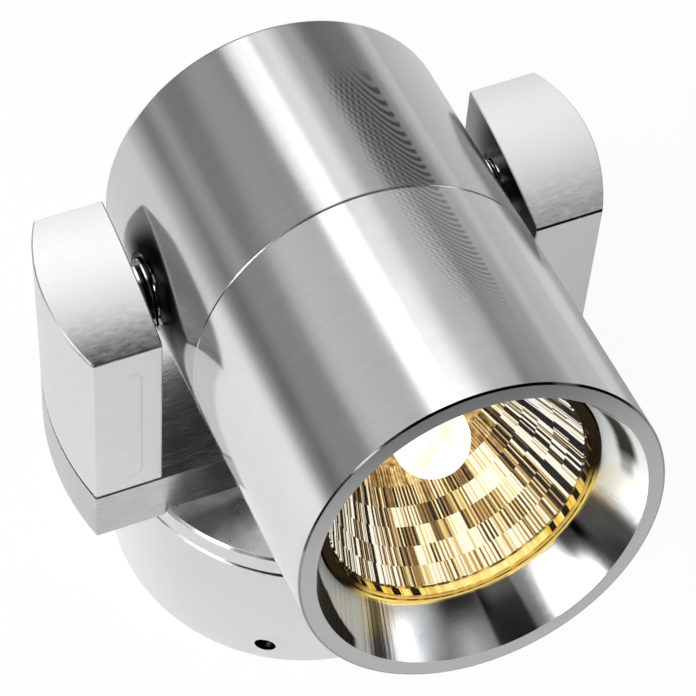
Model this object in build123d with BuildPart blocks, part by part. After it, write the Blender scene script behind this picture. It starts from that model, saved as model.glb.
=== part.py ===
from build123d import *

import os
from math import cos, hypot, radians, sin, sqrt

# Surface spotlight: a round canopy, a swivel disc, a yoke and a tilting lamp head.
# Millimetres. The origin is the centre of the canopy's back face, on the wall or ceiling.
# +Z points away from the mounting surface, X is the tilt axis, the lamp faces -Y and tilts towards +Z.

# Canopy and mounting plate
canopy_diameter = 75.2
canopy_height = 34.8
canopy_wall = 3.2
canopy_top = 4.0
canopy_chamfer = 0.5
plate_gap = 0.3
plate_thickness = 2.0
plate_rim_height = 9.0
plate_rim_wall = 2.0
mount_spacing = 46.0
mount_slot_width = 4.6
mount_slot_length = 9.0
cable_hole_diameter = 12.0
grub_diameter = 4.0
grub_height = 5.2
grub_angle = -121.5
grub_count = 2
grub_drive = 2.0
grub_sink = 1.3

# Terminal block and the plate's earth screw
terminal_length = 30.0
terminal_width = 15.0
terminal_height = 13.0
terminal_offset = 20.5
terminal_screw_diameter = 4.0
terminal_pitch = 9.0
terminal_wire_diameter = 3.4
terminal_ways = 3
terminal_corner = 1.5
terminal_screw_slot = 0.9
earth_screw_diameter = 4.0
earth_screw_offset = 17.0

# Swivel between the canopy and the yoke
swivel_gap = 0.7
disc_thickness = 5.1
disc_chamfer = 0.5
friction_ring_width = 4.0
friction_ring_inset = 4.0
running_gap = 0.05
stem_diameter = 10.0
stem_bore = 7.0
stem_fit = 0.05
stem_head_diameter = 17.0
stem_head_height = 3.0
stem_washer_diameter = 20.0
stem_washer_thickness = 1.2
stem_spring_thickness = 1.0
stem_spring_diameter = 18.0
stem_nut_size = 14.0
stem_nut_height = 4.0
stem_end = 1.5
stop_pin_diameter = 3.0
stop_pin_rise = 2.2
stop_pin_radius = 23.5
stop_pin_angle = 90.0
stop_pin_clearance = 0.4
swivel_half_range = 170.0
disc_screw_diameter = 4.0
disc_screw_offset = 11.6
disc_screw_bite = 6.0

# Yoke
yoke_depth = 31.4
bar_thickness = 14.1
bar_let_in = 2.0
bar_fit = 0.05
cheek_gap = 2.3
cheek_thickness = 12.8
cheek_over_pivot = 8.0
cheek_crown = 1.6
bow_foot = 2.5
bow_top = 3.7
edge_break = 0.25
seam_gap = 0.9
seam_setback = 0.9
cheek_screw_diameter = 4.0
cheek_screw_spacing = 20.0
cheek_screw_bite = 12.0
wire_way = 6.0
wire_slot = 5.0

# Pivots
pivot_shoulder = 8.0
pivot_fit = 0.05
pivot_thread = 6.0
pivot_bite = 7.5
pivot_bore = 3.6
pivot_head_diameter = 12.0
pivot_head_height = 3.0
pivot_drive = 6.0
pivot_drive_depth = 1.8
pivot_pocket_gap = 1.0
washer_diameter = 12.6
washer_thickness = 1.1
collar_diameter = 10.0
spot_depth = 0.9
spot_diameter = 14.6
pivot_spring_thickness = 0.9
pivot_spring_diameter = 12.0

# Head
head_diameter = 65.0
front_reach = 76.5
rear_reach = 21.6
seam_reach = 25.8
swing_clearance = 0.6
head_tilt = 15.2
rear_floor = 5.0
rear_wall = 5.0
rear_round = 0.8
spigot_wall = 1.9
spigot_length = 9.0
spigot_fit = 0.1
seam_chamfer = 0.15
rim_width = 3.1
rim_chamfer = 0.25
cone_depth = 9.8
cone_play = 0.4
cone_land = 1.2

# Lamp, 50 mm reflector with a twist-lock base
lamp_diameter = 50.0
lamp_length = 54.0
lamp_rim_height = 3.4
lamp_glass_thickness = 1.4
lamp_glass_inset = 0.4
lamp_ledge = 1.5
lamp_wall = 1.6
lamp_neck_wall = 1.95
lamp_neck_height = 5.0
lamp_socket_depth = 3.0
lamp_base_diameter = 20.0
lamp_base_height = 13.2
lamp_base_chamfer = 1.0
lamp_glue = 0.05
facet_count = 40
facet_rings = 6
capsule_diameter = 13.4
capsule_length = 27.1
pin_pitch = 10.0
pin_neck = 2.6
pin_head = 5.0
pin_length = 7.0
pin_head_length = 3.5
lamp_twist = 20.0

# Lamp holder and its bracket
holder_gap = 0.3
holder_width = 18.0
holder_height = 29.0
holder_corner = 4.0
holder_depth = 16.4
holder_face = 3.0
holder_slot_fit = 0.3
contact_thickness = 1.0
contact_gap = 0.1
contact_width = 3.6
bracket_sheet = 1.2
bracket_foot = 8.0
holder_screw_diameter = 3.0
holder_screw_gap = 0.6
holder_screw_bite = 5.0
bracket_screw_diameter = 3.0
bracket_screw_bite = 3.0
head_earth_offset = 15.0

# Screw proportions shared by every small screw
head_ratio = 1.8
head_height_ratio = 0.55
drive_ratio = 0.9
drive_depth_ratio = 0.3
screw_clearance = 0.1
thread_fit = 0.02

# Places worked out from the sizes above
canopy_radius = canopy_diameter / 2
plate_radius = canopy_radius - canopy_wall - plate_gap
grub_length = canopy_wall + plate_gap - grub_sink
ceiling = canopy_height - canopy_top
disc_bottom = canopy_height + swivel_gap
disc_top = disc_bottom + disc_thickness
bar_bottom = disc_top - bar_let_in
bar_top = bar_bottom + bar_thickness
half_depth = yoke_depth / 2
head_radius = head_diameter / 2
pivot_height = bar_top + hypot(head_radius, rear_reach) + swing_clearance
cheek_inner = head_radius + cheek_gap
cheek_outer = cheek_inner + cheek_thickness
cheek_middle = cheek_inner + cheek_thickness / 2
cheek_top = pivot_height + cheek_over_pivot
wire_place = cheek_inner + pivot_bite + wire_way / 6
spot_face = head_radius - spot_depth
rear_bore_radius = head_radius - rear_wall
pocket_radius = max(pivot_head_diameter, pivot_spring_diameter) / 2 + pivot_pocket_gap
inner_seat = rear_bore_radius + pivot_pocket_gap / 2
spigot_radius = rear_bore_radius + spigot_wall
lamp_front = front_reach - cone_depth
lamp_radius = lamp_diameter / 2
pin_end = lamp_front - lamp_length
lamp_back = pin_end + pin_length
holder_front = lamp_back - holder_gap
holder_back = holder_front - holder_depth
holder_screw_head = holder_screw_diameter * head_ratio
holder_screw_spacing = holder_height - 2 * (bracket_sheet + holder_screw_gap) - holder_screw_head
floor_reach = rear_floor - rear_reach
lamp_neck = lamp_back + lamp_base_height - lamp_socket_depth
bowl_start = lamp_neck + lamp_neck_height
neck_radius = lamp_base_diameter / 2 + lamp_glue + lamp_neck_wall
bowl_end = lamp_front - lamp_rim_height
glass_back = lamp_front - lamp_glass_inset - lamp_glass_thickness

# Planes: the head's own frame has Z forwards along the lamp axis and Y up
tilt = radians(head_tilt)
pivot = Vector(0, 0, pivot_height)
forwards = Vector(0, -cos(tilt), sin(tilt))
upwards = Vector(0, sin(tilt), cos(tilt))
head_plane = Plane(origin=pivot, x_dir=(1, 0, 0), z_dir=forwards)
head_section = Plane(origin=pivot, x_dir=(1, 0, 0), z_dir=-upwards)
head_axis = Axis(pivot, forwards)
pivot_plane = Plane(origin=pivot, x_dir=(0, 1, 0), z_dir=(1, 0, 0))
wall_section = Plane.XZ

os.makedirs("parts", exist_ok=True)


def save(part, name):
    part.label = name
    export_step(part, f"parts/{name}.step")


def turned(points, plane, axis):
    # A turned solid from a closed outline of radius and length.
    with BuildSketch(plane) as section:
        with BuildLine():
            Polyline(*points, close=True)
        make_face()
    revolve(section.sketch, axis=axis)


def cap_screw(plane, diameter, length):
    # A cheese-head screw: the plane is under its head, with the shank along the plane's -Z.
    head_height = diameter * head_height_ratio
    with BuildSketch(plane) as head:
        Circle(diameter * head_ratio / 2)
    extrude(head.sketch, amount=head_height)
    with BuildSketch(plane) as shank:
        Circle(diameter / 2)
    extrude(shank.sketch, amount=-length)
    with BuildSketch(plane.offset(head_height)) as drive:
        RegularPolygon(diameter * drive_ratio / 2, 6)
    extrude(drive.sketch, amount=-diameter * drive_depth_ratio, mode=Mode.SUBTRACT)


def bowed_end(start, finish, bow):
    # One end of a yoke piece's plan: straight, or an arc that bows along X.
    if bow:
        ThreePointArc(start, (start[0] + bow, 0), finish)
    else:
        Line(start, finish)


def yoke_plan(low, low_bow, high, high_bow):
    # Plan of a yoke piece between two X values, its corners broken.
    corner = half_depth - edge_break
    with BuildLine() as plan:
        left = low + edge_break
        right = high - edge_break
        Polyline((low, -corner), (left, -half_depth), (right, -half_depth), (high, -corner))
        bowed_end((high, -corner), (high, corner), high_bow)
        Polyline((high, corner), (right, half_depth), (left, half_depth), (low, corner))
        bowed_end((low, corner), (low, -corner), -low_bow)
    make_face(plan.edges())


def cheek_plan(side, bow):
    # Plan of a cheek: straight towards the head, bowed outside.
    if side < 0:
        yoke_plan(-cheek_outer, bow, -cheek_inner, 0)
    else:
        yoke_plan(cheek_inner, 0, cheek_outer, bow)


# Mounting plate: a shallow pressed cup that the canopy's grub screws bite on
with BuildPart() as mounting_plate:
    turned(
        [
            (0, 0),
            (plate_radius, 0),
            (plate_radius, plate_rim_height),
            (plate_radius - plate_rim_wall, plate_rim_height),
            (plate_radius - plate_rim_wall, plate_thickness),
            (0, plate_thickness),
        ],
        wall_section,
        Axis.Z,
    )
    with BuildSketch(Plane.XY):
        with Locations((-mount_spacing / 2, 0), (mount_spacing / 2, 0)):
            SlotOverall(mount_slot_length, mount_slot_width)
        Circle(cable_hole_diameter / 2)
        with Locations((0, -earth_screw_offset)):
            Circle(earth_screw_diameter / 2 + screw_clearance / 2)
    extrude(amount=plate_thickness, mode=Mode.SUBTRACT)
save(mounting_plate.part, "mounting_plate")

# Canopy: a turned cup, open to the wall
with BuildPart() as canopy:
    turned(
        [
            (0, canopy_height),
            (canopy_radius, canopy_height),
            (canopy_radius, 0),
            (canopy_radius - canopy_wall, 0),
            (canopy_radius - canopy_wall, ceiling),
            (0, ceiling),
        ],
        wall_section,
        Axis.Z,
    )
    chamfer(canopy.edges().filter_by(GeomType.CIRCLE).group_by(Axis.Z)[-1], canopy_chamfer)
    with BuildSketch(Plane.XY.offset(ceiling)):
        Circle(stem_diameter / 2 + stem_fit)
        with PolarLocations(stop_pin_radius, 1, start_angle=stop_pin_angle):
            Circle(stop_pin_diameter / 2 + thread_fit)
    extrude(amount=canopy_top, mode=Mode.SUBTRACT)
    for index in range(grub_count):
        angle = radians(grub_angle) + index * radians(360 / grub_count)
        outward = Vector(cos(angle), sin(angle), 0)
        with BuildSketch(Plane(origin=(0, 0, grub_height), x_dir=(0, 0, 1), z_dir=outward)):
            Circle(grub_diameter / 2 + thread_fit)
        extrude(amount=canopy_diameter, mode=Mode.SUBTRACT)
save(canopy.part, "canopy")

# Grub screws: sunk in the canopy's wall, their tips on the plate's rim
with BuildPart() as canopy_grub_screws:
    for index in range(grub_count):
        angle = radians(grub_angle) + index * radians(360 / grub_count)
        outward = Vector(cos(angle), sin(angle), 0)
        radial = Plane(origin=(0, 0, grub_height), x_dir=(0, 0, 1), z_dir=outward)
        with BuildSketch(radial.offset(plate_radius)):
            Circle(grub_diameter / 2)
        extrude(amount=grub_length)
        with BuildSketch(radial.offset(plate_radius + grub_length)):
            RegularPolygon(grub_drive / 2, 6, major_radius=False)
        extrude(amount=-grub_length / 2, mode=Mode.SUBTRACT)
save(canopy_grub_screws.part, "canopy_grub_screws")

# Terminal block: three ways, standing on the plate beside the cable hole
block_plane = Plane.XY.offset(plate_thickness)
with BuildPart() as terminal_block:
    with BuildSketch(block_plane):
        with Locations((0, terminal_offset - terminal_width / 2)):
            RectangleRounded(terminal_length, terminal_width, terminal_corner)
    extrude(amount=terminal_height)
    with BuildSketch(block_plane.offset(terminal_height)):
        with Locations((0, terminal_offset - terminal_width / 2)):
            with GridLocations(terminal_pitch, 0, terminal_ways, 1):
                Circle(terminal_screw_diameter / 2 + screw_clearance)
    extrude(amount=-terminal_height / 2, mode=Mode.SUBTRACT)
    wire_plane = Plane(origin=(0, terminal_offset, plate_thickness + terminal_height / 3), z_dir=(0, 1, 0))
    with BuildSketch(wire_plane):
        with GridLocations(terminal_pitch, 0, terminal_ways, 1):
            Circle(terminal_wire_diameter / 2)
    extrude(amount=-terminal_width, mode=Mode.SUBTRACT)
save(terminal_block.part, "terminal_block")

with BuildPart() as terminal_screws:
    with BuildSketch(block_plane.offset(terminal_height / 2)):
        with Locations((0, terminal_offset - terminal_width / 2)):
            with GridLocations(terminal_pitch, 0, terminal_ways, 1):
                Circle(terminal_screw_diameter / 2)
    extrude(amount=terminal_height / 3)
    with BuildSketch(block_plane.offset(terminal_height * 5 / 6)):
        with Locations((0, terminal_offset - terminal_width / 2)):
            with GridLocations(terminal_pitch, 0, terminal_ways, 1):
                Rectangle(2 * terminal_screw_diameter, terminal_screw_slot)
    extrude(amount=-terminal_height / 12, mode=Mode.SUBTRACT)
save(terminal_screws.part, "terminal_screws")

# Earth screw, its shank through the plate's floor
with BuildPart() as plate_earth_screw:
    earth_plane = Plane.XY.offset(plate_thickness).shift_origin((0, -earth_screw_offset, plate_thickness))
    cap_screw(earth_plane, earth_screw_diameter, plate_thickness)
save(plate_earth_screw.part, "plate_earth_screw")

# Friction ring that carries the disc and makes the shadow gap
ring_outer = canopy_radius - friction_ring_inset
with BuildPart() as friction_ring:
    with BuildSketch(Plane.XY.offset(canopy_height)):
        Circle(ring_outer)
        Circle(ring_outer - friction_ring_width, mode=Mode.SUBTRACT)
    extrude(amount=swivel_gap - running_gap)
save(friction_ring.part, "friction_ring")

# Stop pin, pressed in the canopy's top
with BuildPart() as swivel_stop_pin:
    with BuildSketch(Plane.XY.offset(ceiling)):
        with PolarLocations(stop_pin_radius, 1, start_angle=stop_pin_angle):
            Circle(stop_pin_diameter / 2)
    extrude(amount=canopy_top + swivel_gap + stop_pin_rise)
save(swivel_stop_pin.part, "swivel_stop_pin")

# Swivel disc with the stop pin's groove underneath
groove_start = stop_pin_angle - swivel_half_range
with BuildPart() as swivel_disc:
    with BuildSketch(Plane.XY.offset(disc_bottom)):
        Circle(canopy_radius)
    extrude(amount=disc_thickness)
    chamfer(swivel_disc.edges().filter_by(GeomType.CIRCLE).group_by(Axis.Z)[-1], disc_chamfer)
    with BuildSketch(Plane.XY.offset(disc_bottom)):
        Circle(stem_diameter / 2 + stem_fit)
        with Locations((0, -disc_screw_offset), (0, disc_screw_offset)):
            Circle(disc_screw_diameter / 2 + screw_clearance)
    extrude(amount=disc_thickness, mode=Mode.SUBTRACT)
    with BuildSketch(Plane.XY.offset(disc_bottom)):
        with Locations((0, -disc_screw_offset), (0, disc_screw_offset)):
            Circle(disc_screw_diameter * head_ratio / 2 + screw_clearance)
    extrude(amount=disc_screw_diameter * head_height_ratio, mode=Mode.SUBTRACT)
    with BuildSketch(Plane.XY.offset(disc_bottom)):
        groove_line = CenterArc((0, 0), stop_pin_radius, groove_start, 2 * swivel_half_range, mode=Mode.PRIVATE)
        SlotArc(groove_line, stop_pin_diameter + 2 * stop_pin_clearance)
    extrude(amount=stop_pin_rise + stop_pin_clearance, mode=Mode.SUBTRACT)
save(swivel_disc.part, "swivel_disc")

# Screws that hold the disc to the bar, heads sunk in the disc
with BuildPart() as disc_screws:
    for side in (-1, 1):
        seat = disc_bottom + disc_screw_diameter * head_height_ratio
        under_head = Plane(origin=(0, side * disc_screw_offset, seat), x_dir=(1, 0, 0), z_dir=(0, 0, -1))
        cap_screw(under_head, disc_screw_diameter, disc_top - seat + disc_screw_bite)
save(disc_screws.part, "disc_screws")

# Hollow stem: its head sits in the bar, its thread passes the disc and the canopy
stem_seat = bar_top - stem_head_height
nut_top = ceiling - running_gap - stem_washer_thickness - stem_spring_thickness
nut_bottom = nut_top - stem_nut_height
with BuildPart() as swivel_stem:
    turned(
        [
            (stem_bore / 2, bar_top),
            (stem_head_diameter / 2, bar_top),
            (stem_head_diameter / 2, stem_seat),
            (stem_diameter / 2, stem_seat),
            (stem_diameter / 2, nut_bottom - stem_end),
            (stem_bore / 2, nut_bottom - stem_end),
        ],
        wall_section,
        Axis.Z,
    )
    with BuildSketch(Plane.YZ):
        with Locations((0, disc_top + wire_way / 2)):
            RectangleRounded(wire_slot, wire_slot, wire_slot / 4)
    extrude(amount=stem_diameter, mode=Mode.SUBTRACT)
save(swivel_stem.part, "swivel_stem")

with BuildPart() as stem_washer:
    with BuildSketch(Plane.XY.offset(ceiling - running_gap)):
        Circle(stem_washer_diameter / 2)
        Circle(stem_diameter / 2 + stem_fit, mode=Mode.SUBTRACT)
    extrude(amount=-stem_washer_thickness)
save(stem_washer.part, "stem_washer")

# Spring washer: a shallow cone
spring_top = ceiling - running_gap - stem_washer_thickness
spring_inner = stem_diameter / 2 + stem_fit
spring_outer = stem_spring_diameter / 2
with BuildPart() as stem_spring_washer:
    turned(
        [
            (spring_inner, spring_top - stem_spring_thickness / 2),
            (spring_outer, spring_top),
            (spring_outer, spring_top - stem_spring_thickness / 2),
            (spring_inner, spring_top - stem_spring_thickness),
        ],
        wall_section,
        Axis.Z,
    )
save(stem_spring_washer.part, "stem_spring_washer")

with BuildPart() as stem_nut:
    with BuildSketch(Plane.XY.offset(nut_top)):
        RegularPolygon(stem_nut_size / 2, 6, major_radius=False)
        Circle(stem_diameter / 2 + thread_fit, mode=Mode.SUBTRACT)
    extrude(amount=-stem_nut_height)
save(stem_nut.part, "stem_nut")

# Yoke bar: bowed ends, a shallow seat over the disc and the wire channel underneath
screw_seat = disc_top + screw_clearance + cheek_screw_diameter * head_height_ratio
cheek_screw_places = [
    (side * cheek_middle, row * cheek_screw_spacing / 2) for side in (-1, 1) for row in (-1, 1)
]
with BuildPart() as yoke_bar:
    with BuildSketch(Plane.XY.offset(bar_bottom)):
        yoke_plan(-cheek_outer, bow_foot, cheek_outer, bow_foot)
    extrude(amount=bar_thickness)
    chamfer(yoke_bar.edges().group_by(Axis.Z)[0], edge_break)
    with BuildSketch(Plane.XY.offset(bar_bottom)):
        Circle(canopy_radius + bar_fit)
    extrude(amount=bar_let_in, mode=Mode.SUBTRACT)
    with BuildSketch(Plane.XY.offset(bar_bottom)):
        Circle(stem_diameter / 2 + stem_fit)
        with Locations(*cheek_screw_places):
            Circle(cheek_screw_diameter / 2 + screw_clearance)
        with Locations((wire_place, 0)):
            Circle(wire_way / 2)
    extrude(amount=bar_thickness, mode=Mode.SUBTRACT)
    with BuildSketch(Plane.XY.offset(bar_bottom)):
        with Locations(*cheek_screw_places):
            Circle(cheek_screw_diameter * head_ratio / 2 + screw_clearance)
    extrude(amount=screw_seat - bar_bottom, mode=Mode.SUBTRACT)
    with BuildSketch(Plane.XY.offset(bar_bottom)):
        with Locations((wire_place / 2, 0)):
            Rectangle(wire_place, wire_way)
    extrude(amount=bar_let_in + wire_way, mode=Mode.SUBTRACT)
    with BuildSketch(Plane.XY.offset(bar_bottom)):
        with Locations((0, -disc_screw_offset), (0, disc_screw_offset)):
            Circle(disc_screw_diameter / 2 + thread_fit)
    extrude(amount=bar_let_in + disc_screw_bite + screw_clearance, mode=Mode.SUBTRACT)
    with BuildSketch(Plane.XY.offset(stem_seat)):
        Circle(stem_head_diameter / 2 + screw_clearance)
    extrude(amount=stem_head_height, mode=Mode.SUBTRACT)
save(yoke_bar.part, "yoke_bar")

# Cheeks: lofted blocks with a domed top, a set-back foot and a blind pivot hole
crown_radius = (half_depth**2 + cheek_crown**2) / (2 * cheek_crown)
crown_top = cheek_top + cheek_crown
for side, name in ((-1, "cheek_left"), (1, "cheek_right")):
    with BuildPart() as cheek:
        with BuildSketch(Plane.XY.offset(bar_top + seam_gap)):
            cheek_plan(side, bow_foot)
        with BuildSketch(Plane.XY.offset(crown_top + cheek_crown)):
            cheek_plan(side, bow_top)
        loft(ruled=True)
        with BuildSketch(Plane.YZ):
            with Locations((0, crown_top - crown_radius)):
                Circle(crown_radius)
        extrude(amount=side * (cheek_outer + 2 * bow_top), mode=Mode.INTERSECT)
        chamfer(cheek.faces().sort_by(Axis.Z)[-1].edges(), edge_break)
        with BuildSketch(Plane.XY.offset(bar_top)):
            cheek_plan(side, bow_foot)
            offset(amount=-seam_setback, mode=Mode.REPLACE)
        extrude(amount=seam_gap)
        with BuildSketch(Plane.XY.offset(bar_top)):
            with Locations((side * cheek_middle, 0)):
                with GridLocations(0, cheek_screw_spacing, 1, 2):
                    Circle(cheek_screw_diameter / 2 + thread_fit)
        extrude(amount=cheek_screw_bite + screw_clearance, mode=Mode.SUBTRACT)
        with BuildSketch(pivot_plane.offset(side * cheek_inner)):
            Circle(pivot_thread / 2 + thread_fit)
        extrude(amount=side * (pivot_bite + screw_clearance), mode=Mode.SUBTRACT)
        if side > 0:
            with BuildSketch(Plane.XY.offset(bar_top)):
                with Locations((wire_place, 0)):
                    Circle(wire_way / 2)
            extrude(amount=pivot_height - bar_top + pivot_bore / 2, mode=Mode.SUBTRACT)
    save(cheek.part, name)

# Screws that hold the cheeks, from under the bar
with BuildPart() as cheek_screws:
    for place in cheek_screw_places:
        under_head = Plane(origin=(*place, screw_seat), x_dir=(1, 0, 0), z_dir=(0, 0, -1))
        cap_screw(under_head, cheek_screw_diameter, bar_top - screw_seat + cheek_screw_bite)
save(cheek_screws.part, "cheek_screws")

# Pivot washers: two bright washers with a narrower collar between them, on each side
collar_thickness = cheek_inner - spot_face - 2 * washer_thickness - running_gap
washer_bore = pivot_shoulder / 2 + pivot_fit
for side, name in ((-1, "pivot_washers_left"), (1, "pivot_washers_right")):
    with BuildPart() as pivot_washers:
        start = spot_face + running_gap
        for diameter, thickness in (
            (washer_diameter, washer_thickness),
            (collar_diameter, collar_thickness),
            (washer_diameter, washer_thickness),
        ):
            with BuildSketch(pivot_plane.offset(side * start)):
                Circle(diameter / 2)
                Circle(washer_bore, mode=Mode.SUBTRACT)
            extrude(amount=side * thickness)
            start += thickness
    save(pivot_washers.part, name)

# Pivot screws: driven from inside the head into the cheeks, the head turns on their shoulders
head_seat = inner_seat - running_gap - pivot_spring_thickness
for side, name in ((-1, "pivot_screw_left"), (1, "pivot_screw_right")):
    with BuildPart() as pivot_screw:
        with BuildSketch(pivot_plane.offset(side * (head_seat - pivot_head_height))):
            Circle(pivot_head_diameter / 2)
        extrude(amount=side * pivot_head_height)
        with BuildSketch(pivot_plane.offset(side * head_seat)):
            Circle(pivot_shoulder / 2)
        extrude(amount=side * (cheek_inner - head_seat))
        with BuildSketch(pivot_plane.offset(side * cheek_inner)):
            Circle(pivot_thread / 2)
        extrude(amount=side * pivot_bite)
        with BuildSketch(pivot_plane.offset(side * (head_seat - pivot_head_height))):
            RegularPolygon(pivot_drive / 2, 6, major_radius=False)
        extrude(amount=side * pivot_drive_depth, mode=Mode.SUBTRACT)
        if side > 0:
            with BuildSketch(pivot_plane.offset(head_seat - pivot_head_height)):
                Circle(pivot_bore / 2)
            extrude(amount=cheek_inner + pivot_bite - head_seat + pivot_head_height, mode=Mode.SUBTRACT)
    save(pivot_screw.part, name)

# Spring washers under the pivot screws' heads
with BuildPart() as pivot_springs:
    for side in (-1, 1):
        with BuildSketch(pivot_plane.offset(side * head_seat)):
            Circle(pivot_spring_diameter / 2)
            Circle(pivot_shoulder / 2 + pivot_fit, mode=Mode.SUBTRACT)
        extrude(amount=side * pivot_spring_thickness)
save(pivot_springs.part, "pivot_springs")

# Rear barrel: a turned cup with a threaded spigot and two pivot bores
bracket_reach = holder_height / 2 + bracket_foot / 2
with BuildPart() as rear_barrel:
    turned(
        [
            (0, -rear_reach),
            (head_radius, -rear_reach),
            (head_radius, seam_reach),
            (spigot_radius, seam_reach),
            (spigot_radius, seam_reach + spigot_length),
            (rear_bore_radius, seam_reach + spigot_length),
            (rear_bore_radius, floor_reach),
            (0, floor_reach),
        ],
        head_section,
        head_axis,
    )
    rings = rear_barrel.edges().filter_by(GeomType.CIRCLE).sort_by(head_axis)
    fillet(rings[0], rear_round)
    shoulder = rear_barrel.edges().filter_by(GeomType.CIRCLE).filter_by(
        lambda edge: abs(edge.radius - head_radius) < 0.001
    )
    chamfer(shoulder.sort_by(head_axis)[-1], seam_chamfer)
    with BuildSketch(pivot_plane.offset(-head_radius)):
        Circle(pivot_shoulder / 2 + pivot_fit)
    extrude(amount=head_diameter, mode=Mode.SUBTRACT)
    for side in (-1, 1):
        with BuildSketch(pivot_plane.offset(side * spot_face)):
            Circle(spot_diameter / 2)
        extrude(amount=side * 2 * spot_depth, mode=Mode.SUBTRACT)
        with BuildSketch(pivot_plane.offset(side * inner_seat)):
            Circle(pocket_radius)
        extrude(amount=-side * inner_seat / 2, mode=Mode.SUBTRACT)
    with BuildSketch(head_plane.offset(floor_reach)):
        with Locations((0, -bracket_reach), (0, bracket_reach), (head_earth_offset, 0)):
            Circle(bracket_screw_diameter / 2 + thread_fit)
    extrude(amount=-bracket_screw_bite - screw_clearance, mode=Mode.SUBTRACT)
save(rear_barrel.part, "rear_barrel")

# Front barrel: a turned tube with a flat rim and a cone round the lamp
cone_radius = lamp_radius + cone_play
with BuildPart() as front_barrel:
    turned(
        [
            (spigot_radius + spigot_fit, seam_reach + running_gap),
            (head_radius, seam_reach + running_gap),
            (head_radius, front_reach),
            (head_radius - rim_width, front_reach),
            (cone_radius, lamp_front),
            (cone_radius, lamp_front - cone_land),
            (spigot_radius + spigot_fit, lamp_front - cone_land),
        ],
        head_section,
        head_axis,
    )
    outer_rings = front_barrel.edges().filter_by(GeomType.CIRCLE).filter_by(
        lambda edge: abs(edge.radius - head_radius) < 0.001
    )
    outer_rings = outer_rings.sort_by(head_axis)
    chamfer(outer_rings[0], seam_chamfer)
    chamfer(outer_rings[-1], rim_chamfer)
save(front_barrel.part, "front_barrel")

# Lamp reflector: a pressed glass bowl with flat facets inside
bowl_slope = ((lamp_radius - lamp_wall / 2) ** 2 - neck_radius ** 2) / (bowl_end - bowl_start)


def bowl_radius(reach):
    return sqrt(neck_radius ** 2 + bowl_slope * (reach - bowl_start))


bowl_middle = (bowl_start + bowl_end) / 2
glass_radius = lamp_radius - lamp_ledge
with BuildPart() as lamp_reflector:
    with BuildSketch(head_section):
        with BuildLine():
            Polyline((0, lamp_neck), (neck_radius, lamp_neck), (neck_radius, bowl_start))
            ThreePointArc(
                (neck_radius, bowl_start),
                (bowl_radius(bowl_middle), bowl_middle),
                (bowl_radius(bowl_end), bowl_end),
            )
            Polyline(
                (bowl_radius(bowl_end), bowl_end),
                (lamp_radius, bowl_end),
                (lamp_radius, lamp_front),
                (0, lamp_front),
                (0, lamp_neck),
            )
        make_face()
    revolve(axis=head_axis)
    with BuildSketch(head_plane.offset(lamp_neck)):
        Circle(lamp_base_diameter / 2 + lamp_glue)
    extrude(amount=lamp_socket_depth, mode=Mode.SUBTRACT)
    with BuildSketch(head_plane.offset(lamp_neck)):
        Circle(capsule_diameter / 2 + lamp_glue)
    extrude(amount=lamp_front - lamp_neck, mode=Mode.SUBTRACT)
    with BuildSketch(head_plane.offset(glass_back)):
        Circle(glass_radius)
    extrude(amount=lamp_front - glass_back, mode=Mode.SUBTRACT)
    facet_start = bowl_start + lamp_wall
    ring_step = (glass_back - facet_start) / facet_rings
    for ring in range(facet_rings):
        low = facet_start + ring * ring_step
        high = low + ring_step
        with BuildSketch(head_plane.offset(low)):
            RegularPolygon(bowl_radius(low) - lamp_wall, facet_count, rotation=180 / facet_count * ring)
        with BuildSketch(head_plane.offset(high)):
            RegularPolygon(
                min(bowl_radius(high) - lamp_wall, glass_radius - lamp_glue),
                facet_count,
                rotation=180 / facet_count * ring,
            )
        loft(ruled=True, mode=Mode.SUBTRACT)
save(lamp_reflector.part, "lamp_reflector")

with BuildPart() as lamp_front_glass:
    with BuildSketch(head_plane.offset(glass_back)):
        Circle(glass_radius - lamp_glue)
    extrude(amount=lamp_glass_thickness)
    chamfer(lamp_front_glass.edges().sort_by(head_axis)[-1], lamp_glass_inset / 2)
save(lamp_front_glass.part, "lamp_front_glass")

# Capsule: the halogen bulb, rounded at its tip
capsule_start = lamp_neck + lamp_socket_depth
capsule_radius = capsule_diameter / 2
with BuildPart() as lamp_capsule:
    with BuildSketch(head_section):
        with BuildLine():
            Polyline(
                (0, capsule_start),
                (capsule_radius, capsule_start),
                (capsule_radius, capsule_start + capsule_length - capsule_radius),
            )
            RadiusArc(
                (capsule_radius, capsule_start + capsule_length - capsule_radius),
                (0, capsule_start + capsule_length),
                -capsule_radius,
            )
            Line((0, capsule_start + capsule_length), (0, capsule_start))
        make_face()
    revolve(axis=head_axis)
save(lamp_capsule.part, "lamp_capsule")

with BuildPart() as lamp_base:
    with BuildSketch(head_plane.offset(lamp_back)):
        Circle(lamp_base_diameter / 2)
    extrude(amount=lamp_base_height)
    chamfer(lamp_base.edges().sort_by(head_axis)[0], lamp_base_chamfer)
save(lamp_base.part, "lamp_base")

with BuildPart() as lamp_pins:
    with BuildSketch(head_plane.offset(lamp_back)):
        with Locations((-pin_pitch / 2, 0), (pin_pitch / 2, 0)):
            Circle(pin_neck / 2)
    extrude(amount=-pin_length)
    with BuildSketch(head_plane.offset(pin_end)):
        with Locations((-pin_pitch / 2, 0), (pin_pitch / 2, 0)):
            Circle(pin_head / 2)
    extrude(amount=pin_head_length)
save(lamp_pins.part, "lamp_pins")

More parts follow.
